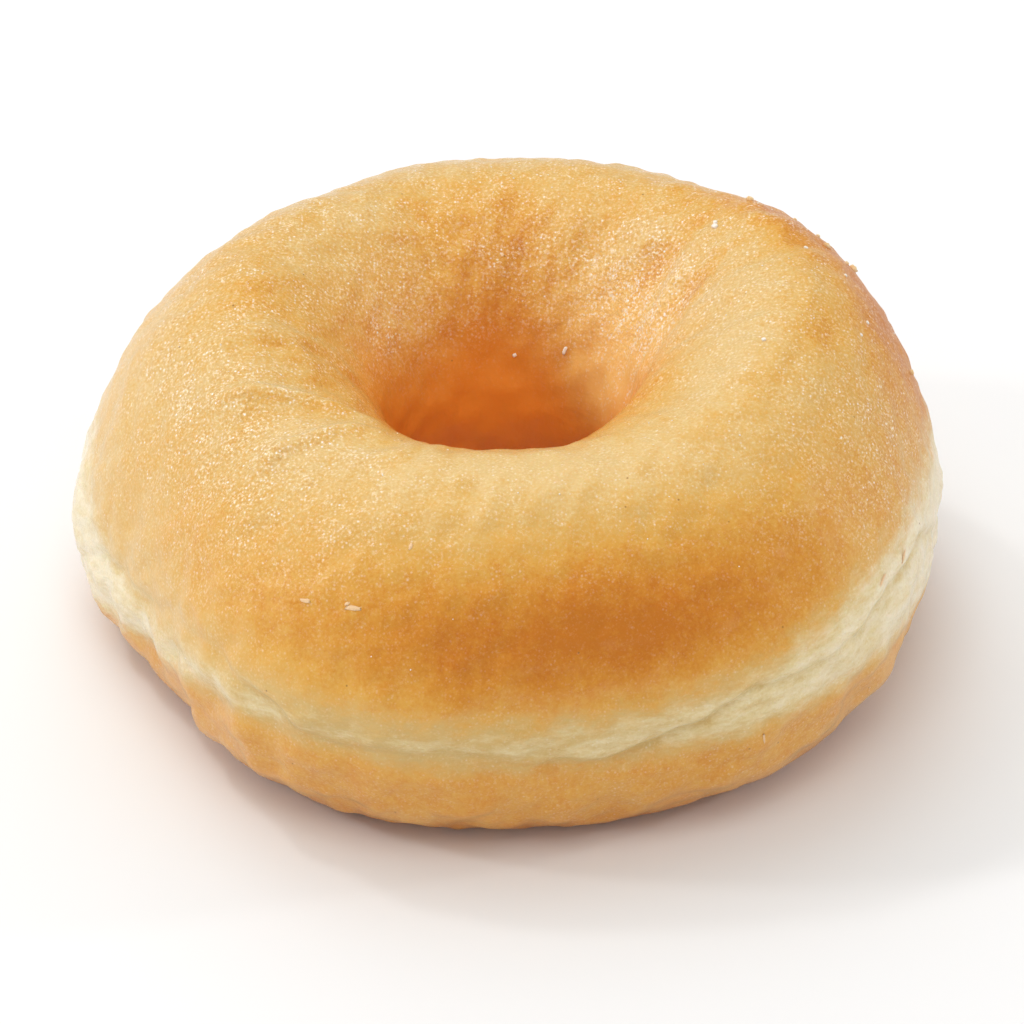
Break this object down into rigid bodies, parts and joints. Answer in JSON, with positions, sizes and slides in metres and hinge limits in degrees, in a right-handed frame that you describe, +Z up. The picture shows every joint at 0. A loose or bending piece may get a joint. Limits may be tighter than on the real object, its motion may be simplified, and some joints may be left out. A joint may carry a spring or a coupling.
{
  "type": "ring doughnut",
  "caption": "Plain fried ring doughnut with a round hole, a golden crust above and below, and a pale proof line round its side.",
  "frame": {"origin": "middle of the flat foot that the doughnut rests on, under the centre of its outline", "axes": "+Z up through the hole, -Y towards the side that the picture shows, +X to its right"},
  "size_m": [0.0868, 0.0878, 0.0408],
  "materials": {
    "crust": "golden fried dough with a thin oily sheen, paler round the side",
    "sugar": "dry white grains"
  },
  "bodies": {
    "root": {"doughnut": "crust"}
  },
  "joints": []
}
